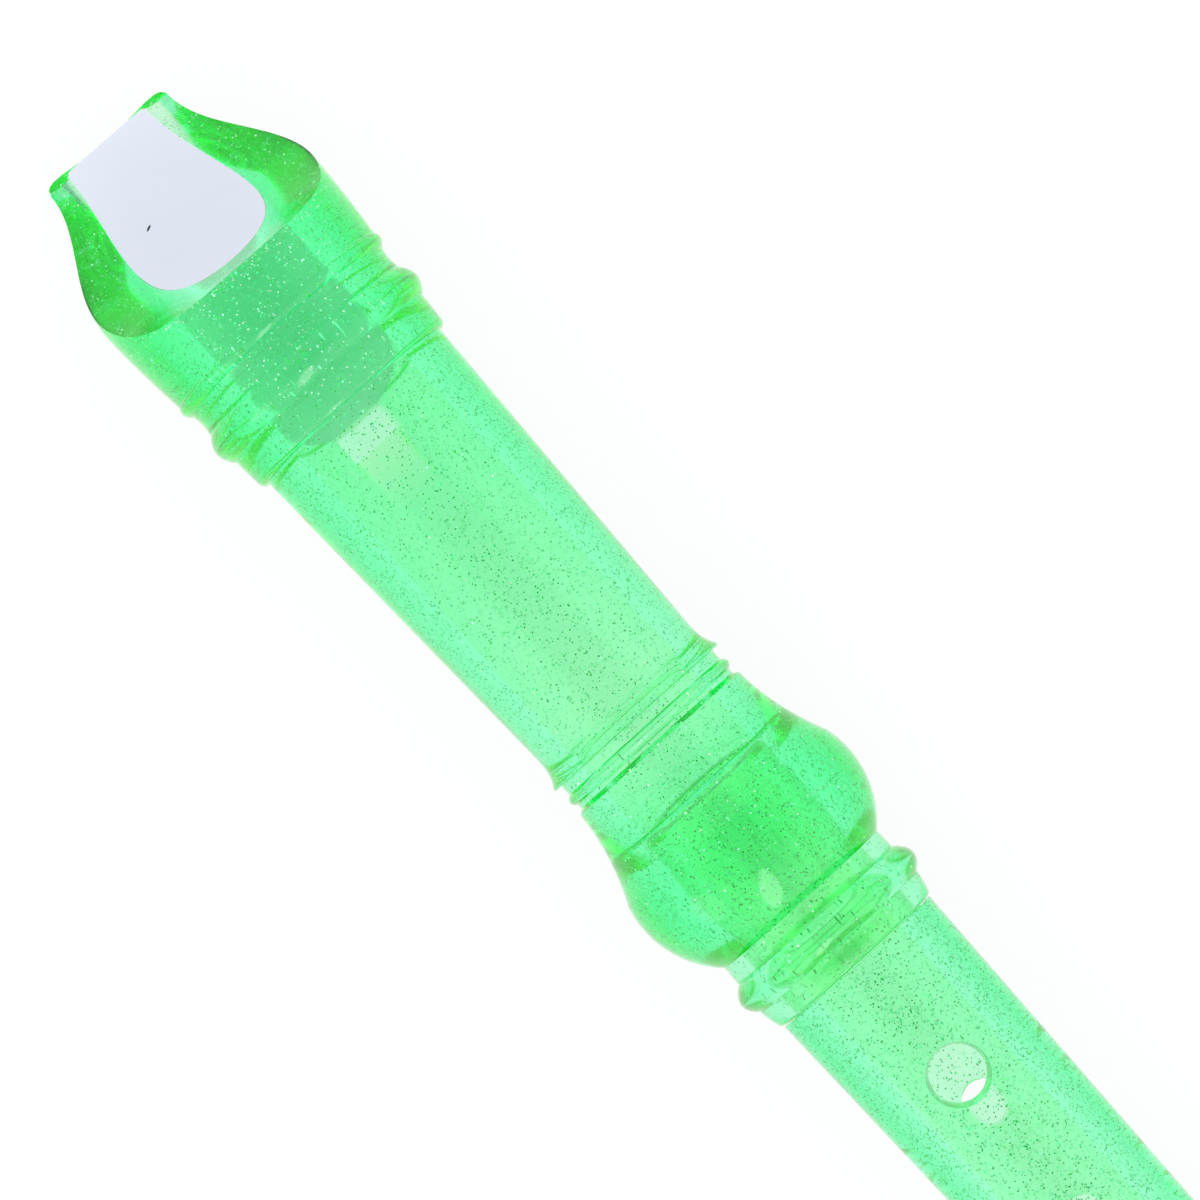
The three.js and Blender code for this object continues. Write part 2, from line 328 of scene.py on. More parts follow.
window_end = window_start + window_length
ramp_end = window_end + ramp_length
outside = barrel_radius + overcut
tube_slope = (tube_top_radius - tube_end_radius) / tube_length
ramp_end_depth = tube_top_radius - tube_slope * (ramp_end - tube_start)
ramp_rise = (ramp_end_depth - lip_depth) / ramp_length
ramp_overshoot = 3 * overcut
lip_pad_root = head_bore_radius + overcut
lip_pad = prism(
    "lip_pad",
    head_start,
    [
        (window_end, -(lip_depth - lip_thickness)),
        (window_end, -lip_pad_root),
        (window_end + lip_pad_length, -lip_pad_root),
        (window_end + lip_pad_length, -head_bore_radius),
    ],
    windway_width,
)
combine(clear_head, with_the_head(lip_pad), "UNION")
windway_cutter = prism(
    "windway_cutter",
    head_start,
    [
        (-overcut, 0),
        (-overcut, -(windway_floor_depth + windway_height)),
        (window_start + overcut, -(windway_floor_depth + windway_height)),
        (window_start + overcut, 0),
    ],
    windway_width,
)
combine(clear_head, with_the_head(windway_cutter), "DIFFERENCE")
window_cutter = prism(
    "window_cutter",
    head_start,
    [
        (window_start, 0),
        (window_start, -outside),
        (ramp_end + ramp_overshoot, -outside),
        (ramp_end + ramp_overshoot, -(ramp_end_depth + ramp_rise * ramp_overshoot)),
        (window_end, -lip_depth),
        (window_end, 0),
    ],
    windway_width,
)
combine(clear_head, with_the_head(window_cutter), "DIFFERENCE")
combine(clear_head, beak_cut(), "DIFFERENCE")


def keep_sharp(piece, start, station, low, high):
    """Mark a turned ring of edges as sharp: those at a station, between two radii in mm."""

    def on_ring(place):
        return abs((place.x - start) / MM - station) < same_place and low < from_axis(place) < high

    select_edges(piece, on_ring)
    bpy.ops.mesh.mark_sharp()
    bpy.ops.object.mode_set(mode="OBJECT")


socket_end = head_length - upper_socket_depth
smooth(clear_head)
keep_sharp(clear_head, head_start, bulb_crease, upper_socket_radius + overcut, barrel_radius)
keep_sharp(clear_head, head_start, socket_end, head_bore_radius, upper_socket_radius + overcut)
cone_end = socket_end - socket_cone_length
keep_sharp(clear_head, head_start, cone_end, head_bore_radius - overcut, upper_socket_radius)


def node_group(name, inputs, outputs):
    """An empty shader node group with named inputs (name, default) and outputs (name, type)."""
    group = bpy.data.node_groups.new(name, "ShaderNodeTree")
    for label, default in inputs:
        socket = group.interface.new_socket(label, in_out="INPUT", socket_type="NodeSocketFloat")
        socket.default_value = default
    for label, kind in outputs:
        group.interface.new_socket(label, in_out="OUTPUT", socket_type=kind)
    return group


def handling_marks_group():
    """Fine rub marks and finger haze: a roughness and a height that any polished plastic takes."""
    group = node_group(
        "handling_marks",
        [("Base Roughness", 0.03), ("Haze", 0.03), ("Rub Scale", 260.0)],
        [("Roughness", "NodeSocketFloat"), ("Height", "NodeSocketFloat")],
    )
    nodes, links = group.nodes, group.links
    given, out = nodes.new("NodeGroupInput"), nodes.new("NodeGroupOutput")
    place = nodes.new("ShaderNodeTexCoord")
    haze = nodes.new("ShaderNodeTexNoise")
    haze.inputs["Scale"].default_value = 55.0
    haze.inputs["Detail"].default_value = 3.0
    links.new(place.outputs["Object"], haze.inputs["Vector"])
    amount = nodes.new("ShaderNodeMath")
    amount.operation = "MULTIPLY_ADD"
    links.new(haze.outputs["Fac"], amount.inputs[0])
    links.new(given.outputs["Haze"], amount.inputs[1])
    links.new(given.outputs["Base Roughness"], amount.inputs[2])
    links.new(amount.outputs[0], out.inputs["Roughness"])
    rub = nodes.new("ShaderNodeTexNoise")
    rub.inputs["Detail"].default_value = 4.0
    links.new(place.outputs["Object"], rub.inputs["Vector"])
    links.new(given.outputs["Rub Scale"], rub.inputs["Scale"])
    links.new(rub.outputs["Fac"], out.inputs["Height"])
    return group


handling_marks = handling_marks_group()


def new_material(name):
    material = bpy.data.materials.new(name)
    material.use_nodes = True
    nodes = material.node_tree.nodes
    return material, nodes, material.node_tree.links, nodes["Principled BSDF"]


def clear_green_plastic(name, dye_strength):
    """Polished clear plastic, dyed green through its depth, with slight ripples from the mould."""
    material, nodes, links, shader = new_material(name)
    shader.inputs["Transmission Weight"].default_value = 1.0
    shader.inputs["IOR"].default_value = 1.5
    place = nodes.new("ShaderNodeTexCoord")
    streaks = nodes.new("ShaderNodeTexNoise")
    streaks.inputs["Scale"].default_value = 70.0
    streaks.inputs["Detail"].default_value = 2.0
    links.new(place.outputs["Object"], streaks.inputs["Vector"])
    dye = nodes.new("ShaderNodeMix")
    dye.data_type = "RGBA"
    dye.inputs["A"].default_value = (0.90, 0.99, 0.80, 1)
    dye.inputs["B"].default_value = (0.95, 1.0, 0.84, 1)
    links.new(streaks.outputs["Fac"], dye.inputs["Factor"])
    links.new(dye.outputs["Result"], shader.inputs["Base Color"])
    marks = nodes.new("ShaderNodeGroup")
    marks.node_tree = handling_marks
    marks.inputs["Base Roughness"].default_value = 0.06
    marks.inputs["Haze"].default_value = 0.04
    marks.inputs["Rub Scale"].default_value = 180.0
    # The beak's cut face is satin: it is told by its distance from the cut's centre line
    from_cut = nodes.new("ShaderNodeMapping")
    from_cut.vector_type = "TEXTURE"
    from_cut.inputs["Location"].default_value = cut_centre
    from_cut.inputs["Rotation"].default_value = (-head_turn, 0, 0)
    links.new(place.outputs["Object"], from_cut.inputs["Vector"])
    square_to_cut = nodes.new("ShaderNodeVectorMath")
    square_to_cut.operation = "MULTIPLY"
    square_to_cut.inputs[1].default_value = (1, 0, 1)
    links.new(from_cut.outputs["Vector"], square_to_cut.inputs[0])
    reach = nodes.new("ShaderNodeVectorMath")
    reach.operation = "LENGTH"
    links.new(square_to_cut.outputs["Vector"], reach.inputs[0])
    satin = nodes.new("ShaderNodeMapRange")
    satin.inputs["From Min"].default_value = (cut_radius + 0.15) * MM
    satin.inputs["From Max"].default_value = (cut_radius + 0.05) * MM
    satin.inputs["To Max"].default_value = 0.16
    links.new(reach.outputs["Value"], satin.inputs["Value"])
    rough = nodes.new("ShaderNodeMath")
    links.new(marks.outputs["Roughness"], rough.inputs[0])
    links.new(satin.outputs["Result"], rough.inputs[1])
    links.new(rough.outputs[0], shader.inputs["Roughness"])
    bump = nodes.new("ShaderNodeBump")
    bump.inputs["Strength"].default_value = 0.06
    bump.inputs["Distance"].default_value = 0.0002
    links.new(marks.outputs["Height"], bump.inputs["Height"])
    links.new(bump.outputs["Normal"], shader.inputs["Normal"])
    depth = nodes.new("ShaderNodeVolumeAbsorption")
    depth.inputs["Color"].default_value = (0.0, 0.992, 0.65, 1)
    depth.inputs["Density"].default_value = dye_strength
    links.new(depth.outputs["Volume"], nodes["Material Output"].inputs["Volume"])
    return material


head_dye_strength = 144.0
clear_head.data.materials.append(clear_green_plastic("clear_green_head", head_dye_strength))
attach(clear_head, "head")
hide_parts("head_joint")


# Block in the beak. An opaque white plug, pressed into the bore from the mouth end.
# It takes the beak's cut, has a flat for the windway's floor, and slants off at the window.
block_clearance, block_recess, block_end_slope = 0.12, 0.3, 0.36
block_radius = head_bore_radius - block_clearance
block_edge = 0.35
fleck_station, fleck_side, fleck_depth = 12.7, -4.17, 2.8
fleck_length, fleck_width, fleck_reach = 0.52, 0.17, 4.0
fleck_heading = math.radians(114)
face_length = math.sqrt(cut_radius**2 - (cut_radius - cut_depth_below_axis - block_radius) ** 2)
white_block = turn(
    "white_block",
    head_start,
    [
        (block_recess, 0),
        (block_recess, block_radius - block_edge),
        (block_recess + block_edge, block_radius),
        (window_start + overcut, block_radius),
        (window_start + overcut, 0),
    ],
)
combine(white_block, beak_cut(), "DIFFERENCE")
block_end_height = 2 * outside
block_end_cutter = prism(
    "block_end_cutter",
    head_start,
    [
        (window_start + block_end_slope * overcut, -windway_floor_depth - overcut),
        (window_start - block_end_slope * block_end_height, block_end_height - windway_floor_depth),
        (window_start + outside, block_end_height - windway_floor_depth),
        (window_start + outside, -windway_floor_depth - overcut),
    ],
    2 * outside,
)
combine(white_block, with_the_head(block_end_cutter), "DIFFERENCE")
windway_floor_cutter = prism(
    "windway_floor_cutter",
    head_start,
    [
        (-overcut, -windway_floor_depth),
        (-overcut, -outside),
        (window_start + outside, -outside),
        (window_start + outside, -windway_floor_depth),
    ],
    2 * outside,
)
combine(white_block, with_the_head(windway_floor_cutter), "DIFFERENCE")
smooth(white_block)


def white_plastic():
    """Satin white plastic with a faint lavender cast, light rub marks and one dark fleck, and the plug
    past its face painted whiter as painted light.
    """
    material, nodes, links, shader = new_material("white_block_plastic")
    place = nodes.new("ShaderNodeTexCoord")
    cloud = nodes.new("ShaderNodeTexNoise")
    cloud.inputs["Scale"].default_value = 140.0
    cloud.inputs["Detail"].default_value = 5.0
    links.new(place.outputs["Object"], cloud.inputs["Vector"])
    tone = nodes.new("ShaderNodeMix")
    tone.data_type = "RGBA"
    tone.inputs["A"].default_value = (0.74, 0.765, 0.85, 1)
    tone.inputs["B"].default_value = (0.78, 0.805, 0.89, 1)
    links.new(cloud.outputs["Fac"], tone.inputs["Factor"])
    # Painted light: the plug past its face, seen through the clear plastic, is painted whiter than the
    # face to make up for the light that the plastic takes from it
    parts = nodes.new("ShaderNodeSeparateXYZ")
    links.new(place.outputs["Object"], parts.inputs["Vector"])
    inside = nodes.new("ShaderNodeMapRange")
    inside.inputs["From Min"].default_value = head_start + (face_length - 0.1) * MM
    inside.inputs["From Max"].default_value = head_start + (face_length + 0.1) * MM
    links.new(parts.outputs["X"], inside.inputs["Value"])
    painted_whiter_under_plastic = nodes.new("ShaderNodeMix")
    painted_whiter_under_plastic.data_type = "RGBA"
    painted_whiter_under_plastic.inputs["B"].default_value = (0.95, 0.96, 0.97, 1)
    links.new(inside.outputs["Result"], painted_whiter_under_plastic.inputs["Factor"])
    links.new(tone.outputs["Result"], painted_whiter_under_plastic.inputs["A"])
    # The fleck: a small ellipse on the face, to the left of the middle
    centre = nodes.new("ShaderNodeMapping")
    centre.vector_type = "TEXTURE"
    centre.inputs["Location"].default_value = (
        head_start + fleck_station * MM,
        fleck_side * MM,
        axis_height - fleck_depth * MM,
    )
    centre.inputs["Rotation"].default_value = (0, 0, fleck_heading)
    centre.inputs["Scale"].default_value = (fleck_length * MM, fleck_width * MM, fleck_reach * MM)
    links.new(place.outputs["Object"], centre.inputs["Vector"])
    reach = nodes.new("ShaderNodeVectorMath")
    reach.operation = "LENGTH"
    links.new(centre.outputs["Vector"], reach.inputs[0])
    fleck = nodes.new("ShaderNodeMapRange")
    fleck.inputs["From Min"].default_value = 0.8
    fleck.inputs["From Max"].default_value = 1.0
    fleck.inputs["To Min"].default_value = 1.0
    fleck.inputs["To Max"].default_value = 0.0
    links.new(reach.outputs["Value"], fleck.inputs["Value"])
    marked = nodes.new("ShaderNodeMix")
    marked.data_type = "RGBA"
    marked.inputs["B"].default_value = (0.02, 0.02, 0.03, 1)
    links.new(fleck.outputs["Result"], marked.inputs["Factor"])
    links.new(painted_whiter_under_plastic.outputs["Result"], marked.inputs["A"])
    links.new(marked.outputs["Result"], shader.inputs["Base Color"])
    marks = nodes.new("ShaderNodeGroup")
    marks.node_tree = handling_marks
    marks.inputs["Base Roughness"].default_value = 0.38
    marks.inputs["Haze"].default_value = 0.2
    marks.inputs["Rub Scale"].default_value = 900.0
    links.new(marks.outputs["Roughness"], shader.inputs["Roughness"])
    bump = nodes.new("ShaderNodeBump")
    bump.inputs["Strength"].default_value = 0.25
    bump.inputs["Distance"].default_value = 0.00005
    links.new(marks.outputs["Height"], bump.inputs["Height"])
    links.new(bump.outputs["Normal"], shader.inputs["Normal"])
    return material


white_block.data.materials.append(white_plastic())
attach(white_block, "head")
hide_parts("fipple_block")


# Middle joint. A clear green tube that tapers towards the foot, with a tenon at each end.
# The thumb hole is on the upper side, the finger holes are underneath, and all are drilled.
upper_tenon_radius, upper_tenon_length, tenon_chamfer = 10.05, 27.2, 0.5
middle_top_radius, middle_end_radius, middle_body_length = 12.19, 9.75, 121.5
middle_bore_top_radius, middle_bore_end_radius = 7.4, 5.6
lower_tenon_radius, lower_tenon_length = 8.0, 14.5
thumb_hole_radius, thumb_hole_station = 3.65, 18.3
finger_holes = [(24.2, 3.0), (43.3, 3.0), (61.3, 3.2), (80.1, 3.2), (97.7, 2.9)]
pair_station, pair_spacing = 114.1, 4.6
pair_large_radius, pair_small_radius = 1.8, 1.5
thumb_hole_flare, flare_depth = 0.12, 3.6
rim_rounding, rim_steps, rim_sweep = 0.15, 4, math.radians(75)
hole_sides = 64

middle_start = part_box("middle_joint")[0].x + upper_tenon_length * MM


def radius_at(points, station):
    """The radius of an outline's points at a station."""
    for (before, low), (after, high) in zip(points, points[1:]):
        if before <= station <= after and after > before:
            return low + (high - low) * (station - before) / (after - before)
    return 0.0


def drill(piece, start, outline, radius, station, side, across=0.0, flare=0.0):
    """Drill one wall square to the axis, with the hole's rim rounded over into the wall.

    Side 1 is the thumb side and -1 the finger side. Flare is the share by which the hole widens
    through the wall.
    """
    crown = radius_at(outline, station)
    mouth_radius = radius * (1 + flare)
    rings = [(radius, 0.0), (radius, crown - flare_depth), (mouth_radius, crown - rim_rounding)]
    for step in range(1, rim_steps + 1):
        angle = rim_sweep * step / rim_steps
        rings.append(
            (
                mouth_radius + rim_rounding * (1 - math.cos(angle)),
                crown - rim_rounding * (1 - math.sin(angle)),
            )
        )
    rim_radius, rim_height = rings[-1]
    clear_radius = rim_radius + overcut * math.sin(angle) / 2
    rings.append((clear_radius, rim_height + overcut * math.cos(angle) / 2))
    rings.append((clear_radius, 2 * barrel_radius))
    bpy.ops.object.select_all(action="DESELECT")
    bpy.ops.mesh.primitive_circle_add(
        vertices=hole_sides,
        radius=radius * MM,
        fill_type="NGON",
        location=(start + station * MM, across * MM, axis_height),
    )
    bpy.ops.object.transform_apply()
    cutter = bpy.context.object
    in_edit_mode(cutter)
    for (here, low), (there, high) in zip(rings, rings[1:]):
        bpy.ops.mesh.extrude_region_move(
            TRANSFORM_OT_translate={"value": (0, 0, side * (high - low) * MM)}
        )
        bpy.ops.transform.resize(value=(there / here, there / here, 1))
    bpy.ops.mesh.select_all(action="SELECT")
    bpy.ops.mesh.normals_make_consistent(inside=False)
    bpy.ops.object.mode_set(mode="OBJECT")
    # The rim's rings are let down onto the round wall
    for vertex in cutter.data.vertices:
        if overcut < side * (vertex.co.z - axis_height) / MM < crown + overcut:
            wall_radius = radius_at(outline, (vertex.co.x - start) / MM)
            wall_height = math.sqrt(wall_radius**2 - (vertex.co.y / MM) ** 2)
            vertex.co.z += side * (wall_height - crown) * MM
    combine(piece, cutter, "DIFFERENCE")


middle_outline = (
    Outline(-upper_tenon_length, upper_tenon_radius - tenon_chamfer)
    .run(tenon_chamfer, upper_tenon_radius)
    .run(upper_tenon_length - tenon_chamfer, upper_tenon_radius)
    .run(0, middle_top_radius)
    .run(middle_body_length, middle_end_radius, 24)
    .run(0, lower_tenon_radius)
    .run(lower_tenon_length - tenon_chamfer, lower_tenon_radius)
    .run(tenon_chamfer, lower_tenon_radius - tenon_chamfer)
)
middle_inside = [
    (middle_body_length + lower_tenon_length, middle_bore_end_radius),
    (-upper_tenon_length, middle_bore_top_radius),
]
clear_middle = turn("clear_middle", middle_start, middle_outline.points + middle_inside)
middle_place = (clear_middle, middle_start, middle_outline.points)
drill(*middle_place, thumb_hole_radius, thumb_hole_station, 1, flare=thumb_hole_flare)
for station, radius in finger_holes:
    drill(*middle_place, radius, station, -1)
drill(*middle_place, pair_large_radius, pair_station, -1, pair_spacing / 2)
drill(*middle_place, pair_small_radius, pair_station, -1, -pair_spacing / 2)
smooth(clear_middle)
joints_dye_strength = 110.0
paler_green = clear_green_plastic("clear_green_joints", joints_dye_strength)
clear_middle.data.materials.append(paler_green)
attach(clear_middle, "middle")
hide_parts("middle_joint")


# Foot joint. The last clear green piece, with a socket, a bead, a barrel and a bell.
# Its pair of small holes is under the little finger, and its end is a flat ring.
foot_collar_radius, foot_collar_length = 11.0, 3.0
foot_bead_width, foot_bead_height, foot_neck_length = 4.2, 1.3, 1.2
foot_barrel_radius, foot_barrel_rise, foot_barrel_length = 12.6, 3.0, 21.9
foot_waist_radius = 11.2
foot_ring_width, foot_ring_height, foot_ring_gap = 1.6, 0.75, 1.0
foot_flare_length, bell_crease_radius = 18.6, 14.2
bell_radius, bell_length, bell_end_radius, bell_rounding = 14.9, 5.6, 14.0, 1.0
foot_bore_radius, foot_bore_chamfer = 5.5, 0.8
lower_socket_radius, lower_socket_depth = 8.15, 15.3
foot_pair_station, foot_pair_spacing = 17.5, 4.2
foot_pair_large_radius, foot_pair_small_radius = 1.7, 1.35

foot_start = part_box("foot_joint")[0].x
bell_height = bell_radius - (bell_crease_radius + bell_end_radius) / 2
foot_outline = (
    Outline(0, foot_collar_radius - collar_rounding)
    .run(collar_rounding, foot_collar_radius, 5, quarter_round)
    .run(foot_collar_length - collar_rounding, foot_collar_radius)
    .bead(foot_bead_width, foot_bead_height, foot_collar_radius, 18)
    .run(foot_neck_length, foot_collar_radius)
    .run(foot_barrel_rise, foot_barrel_radius, 10, quarter_round)
    .run(foot_barrel_length, foot_waist_radius, 14, fall)
    .bead(foot_ring_width, foot_ring_height, foot_waist_radius, 10)
    .run(foot_ring_gap, foot_waist_radius)
    .bead(foot_ring_width, foot_ring_height, foot_waist_radius, 10)
    .run(foot_flare_length, bell_crease_radius, 18, flare)
    .bead(bell_length, bell_height, bell_end_radius, 18)
    .run(bell_rounding, bell_end_radius - bell_rounding, 6, quarter_drop)
)
foot_length = foot_outline.station
foot_inside = [
    (foot_length, foot_bore_radius + foot_bore_chamfer),
    (foot_length - foot_bore_chamfer, foot_bore_radius),
    (lower_socket_depth, foot_bore_radius),
    (lower_socket_depth, lower_socket_radius),
    (socket_chamfer, lower_socket_radius),
    (0, lower_socket_radius + socket_chamfer),
]
clear_foot = turn("clear_foot", foot_start, foot_outline.points + foot_inside)
foot_place = (clear_foot, foot_start, foot_outline.points)
drill(*foot_place, foot_pair_large_radius, foot_pair_station, -1, foot_pair_spacing / 2)
drill(*foot_place, foot_pair_small_radius, foot_pair_station, -1, -foot_pair_spacing / 2)
smooth(clear_foot)
clear_foot.data.materials.append(paler_green)
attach(clear_foot, "foot")
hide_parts("foot_joint")


# Glitter. Green and silver flakes about 0.27 mm across, mixed into the plastic before moulding.
# Each clear piece carries its own, spread through its walls and clear of every cut and hole.
flake_radius, flake_thickness = 0.135, 0.03
smallest_flake, largest_flake = 0.75, 1.2
wall_margin = 0.25
neck_share = 0.3
silver_depth = 1.3
silver_share_by_block, silver_share_in_bulb, silver_share_elsewhere = 0.3, 0.1, 0.03


def cut_flake():
    """One flake, four-sided and drawn out by its thickness: its points and its faces."""
    bpy.ops.object.select_all(action="DESELECT")
    bpy.ops.mesh.primitive_circle_add(
        vertices=4, radius=flake_radius, fill_type="NGON", location=(0, 0, -flake_thickness / 2)
    )
    bpy.ops.object.transform_apply()
    flake = bpy.context.object
    in_edit_mode(flake)
    bpy.ops.mesh.extrude_region_move(TRANSFORM_OT_translate={"value": (0, 0, flake_thickness)})
    bpy.ops.mesh.select_all(action="SELECT")
    bpy.ops.mesh.normals_make_consistent(inside=False)
    bpy.ops.object.mode_set(mode="OBJECT")
    points = np.array([vertex.co for vertex in flake.data.vertices])
    faces = [list(polygon.vertices) for polygon in flake.data.polygons]
    bpy.data.meshes.remove(flake.data)
    return points, faces


flake_points, flake_faces = cut_flake()


def glitter(name, start, outline, bore_at, is_open, per_cubic_mm, spread, seed):
    """Flakes through a turned wall: outline and bore give the wall, is_open the places without any.

    They lie along the wall, but for leans that spread as given in radians.
    """
    draw = random.Random(seed)
    first, last = outline[0][0] + wall_margin, outline[-1][0] - wall_margin
    largest = max(radius for _, radius in outline)
    box_volume = (last - first) * (2 * largest) ** 2
    points, faces = [], []
    for _ in range(int(box_volume * per_cubic_mm)):
        station = draw.uniform(first, last)
        y, z = draw.uniform(-largest, largest), draw.uniform(-largest, largest)
        lean = draw.gauss(0, spread)
        heading, spin = draw.uniform(0, math.tau), draw.uniform(0, math.tau)
        size, chance = draw.uniform(smallest_flake, largest_flake), draw.random()
        wall_inside = bore_at(station) + wall_margin
        wall_outside = radius_at(outline, station) - wall_margin
        if not wall_inside < math.hypot(y, z) < wall_outside or is_open(station, y, z, chance):
            continue
        outward = Vector((0, y, z)).normalized()
        tilt = Matrix.Rotation(lean, 3, Vector((math.cos(heading), math.sin(heading), 0)))
        turned = outward.to_track_quat("Z", "X").to_matrix() @ tilt @ Matrix.Rotation(spin, 3, "Z")
        first_point = len(points) * len(flake_points)
        faces += [[first_point + corner for corner in face] for face in flake_faces]
        points.append((flake_points * size) @ np.array(turned).T + np.array((station, y, z)))
    places = np.concatenate(points) * MM + np.array((start, 0, axis_height))
    mesh = bpy.data.meshes.new(name)
    mesh.from_pydata(places.tolist(), [], faces)
    piece = bpy.data.objects.new(name, mesh)
    bpy.context.scene.collection.objects.link(piece)
    return piece


def head_bore_at(station):
    socket_start = head_length - upper_socket_depth - socket_cone_length - wall_margin
    return upper_socket_radius if station > socket_start else head_bore_radius


def with_head_turned_back(y, z):
    """A place's distances to the side and up, seen square to the turned head."""
    return (
        y * math.cos(head_turn) - z * math.sin(head_turn),
        y * math.sin(head_turn) + z * math.cos(head_turn),
    )


def head_is_open(station, y, z, chance):
    """True in the beak's cut, the windway and the window, and for most of the neck's flakes."""
    side, height = with_head_turned_back(y, z)
    in_cut = math.hypot(station, height - cut_radius + cut_depth_below_axis) < cut_radius + wall_margin
    under_middle = abs(side) < windway_width / 2 + wall_margin and height < 0
    in_windway = (
        under_middle
        and station < ramp_end
        and height > -(windway_floor_depth + windway_height + wall_margin)
    )
    over_ramp = under_middle and window_start - wall_margin < station < ramp_end + ramp_overshoot
    in_neck = station > bulb_peak + bulb_rounding * math.sin(bulb_end_angle)
    return in_cut or in_windway or over_ramp or (in_neck and chance > neck_share)


def by_the_block(station, y, z):
    """True in the beak's walls and over the block, where the flakes that show are silver."""
    side, height = with_head_turned_back(y, z)
    return station < cut_radius or (
        station < window_start and height > 0 and abs(side) < head_bore_radius
    )


def open_to_green(station, y, z, chance):
    return head_is_open(station, y, z, chance) or by_the_block(station, y, z)


def open_to_silver(station, y, z, chance):
    """Many just under the beak's cut, some over the block and in the bulb, and few elsewhere."""
    height = with_head_turned_back(y, z)[1]
    from_cut_centre = math.hypot(station, height - cut_radius + cut_depth_below_axis)
    share = silver_share_in_bulb if station > bulb_crease - bulb_flare_length else silver_share_elsewhere
    if by_the_block(station, y, z):
        share = silver_share_by_block
    left_out = from_cut_centre >= cut_radius + silver_depth and chance > share
    return left_out or head_is_open(station, y, z, chance)


def middle_bore_at(station):
    u = (station + upper_tenon_length) / (upper_tenon_length + middle_body_length + lower_tenon_length)
    return middle_bore_top_radius + (middle_bore_end_radius - middle_bore_top_radius) * u


def in_holes(holes, station, y, z):
    """True near a drilled hole: each hole is its station, radius, side and place across."""
    for hole_station, radius, side, across in holes:
        if side * z > 0 and math.hypot(station - hole_station, y - across) < radius + wall_margin:
            return True
    return False


middle_holes = [
    (thumb_hole_station, thumb_hole_radius * (1 + thumb_hole_flare), 1, 0),
    *[(station, radius, -1, 0) for station, radius in finger_holes],
    (pair_station, pair_large_radius, -1, pair_spacing / 2),
    (pair_station, pair_small_radius, -1, -pair_spacing / 2),
]
foot_holes = [
    (foot_pair_station, foot_pair_large_radius, -1, foot_pair_spacing / 2),
    (foot_pair_station, foot_pair_small_radius, -1, -foot_pair_spacing / 2),
]


def foot_bore_at(station):
    in_socket = station < lower_socket_depth + wall_margin
    return lower_socket_radius if in_socket else foot_bore_radius + foot_bore_chamfer


def foil(name, dull, bright):
    """Metal foil, some flakes cleaner than others."""
    material, nodes, links, shader = new_material(name)
    shader.inputs["Metallic"].default_value = 1.0
    place = nodes.new("ShaderNodeTexCoord")
    patchy = nodes.new("ShaderNodeTexNoise")
    patchy.inputs["Scale"].default_value = 900.0
    links.new(place.outputs["Object"], patchy.inputs["Vector"])
    tone = nodes.new("ShaderNodeMix")
    tone.data_type = "RGBA"
    tone.inputs["A"].default_value = (*dull, 1)
    tone.inputs["B"].default_value = (*bright, 1)
    sort = nodes.new("ShaderNodeMapRange")
    sort.inputs["From Min"].default_value = 0.5
    sort.inputs["From Max"].default_value = 0.65
    links.new(patchy.outputs["Fac"], sort.inputs["Value"])
    links.new(sort.outputs["Result"], tone.inputs["Factor"])
    links.new(tone.outputs["Result"], shader.inputs["Base Color"])
    shader.inputs["Roughness"].default_value = 0.22
    return material


green_foil = foil("green_foil", (0.10, 0.66, 0.30), (0.4, 0.95, 0.6))
silver_foil = foil("silver_foil", (0.9, 0.95, 0.92), (1.0, 1.0, 1.0))


def lay_glitter(piece, material, body):
    piece.data.materials.append(material)
    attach(piece, body)


def open_in_middle(station, y, z, chance):
    return in_holes(middle_holes, station, y, z)


def open_in_foot(station, y, z, chance):
    return in_holes(foot_holes, station, y, z)


head_walls = (head_start, head_outline.points, head_bore_at)
middle_walls = (middle_start, middle_outline.points, middle_bore_at)
foot_walls = (foot_start, foot_outline.points, foot_bore_at)
head_green_mix = {"per_cubic_mm": 0.36, "spread": 0.5, "seed": 11}
head_silver_mix = {"per_cubic_mm": 1.3, "spread": 1.0, "seed": 14}
middle_mix = {"per_cubic_mm": 0.5, "spread": 0.5, "seed": 12}
foot_mix = {"per_cubic_mm": 0.5, "spread": 0.5, "seed": 13}
head_green_glitter = glitter("head_green_glitter", *head_walls, open_to_green, **head_green_mix)
lay_glitter(head_green_glitter, green_foil, "head")
head_silver_glitter = glitter("head_silver_glitter", *head_walls, open_to_silver, **head_silver_mix)
lay_glitter(head_silver_glitter, silver_foil, "head")
middle_glitter = glitter("middle_glitter", *middle_walls, open_in_middle, **middle_mix)
lay_glitter(middle_glitter, green_foil, "middle")
foot_glitter = glitter("foot_glitter", *foot_walls, open_in_foot, **foot_mix)
lay_glitter(foot_glitter, green_foil, "foot")


# Camera. It looks down on the thumb side from over the bulb, with the recorder lying corner
# to corner and its lower half out of the picture, through a long lens.
camera_station, camera_side, camera_height = 109.9, 6.5, 837.0
looked_at_station = 85.5
picture_turn = math.radians(137.844)
tip = Vector((head_start, 0, axis_height))
camera_place = tip + Vector((camera_station, camera_side, camera_height)) * MM
looked_at = tip + Vector((looked_at_station, camera_side, 0)) * MM
picture_up = Vector((math.cos(picture_turn), math.sin(picture_turn), 0))
looking = (looked_at - camera_place).normalized()
picture_right = looking.cross(picture_up).normalized()
camera_data = bpy.data.cameras.new("camera")
camera = bpy.data.objects.new("camera", camera_data)
camera_data.lens = 201.0
camera_data.sensor_width = 36.0
camera_data.clip_start, camera_data.clip_end = 0.05, 20.0
turned = Matrix((picture_right, picture_right.cross(looking), -looking)).transposed()
camera.matrix_world = Matrix.Translation(camera_place) @ turned.to_4x4()
bpy.context.scene.collection.objects.link(camera)
bpy.context.scene.camera = camera


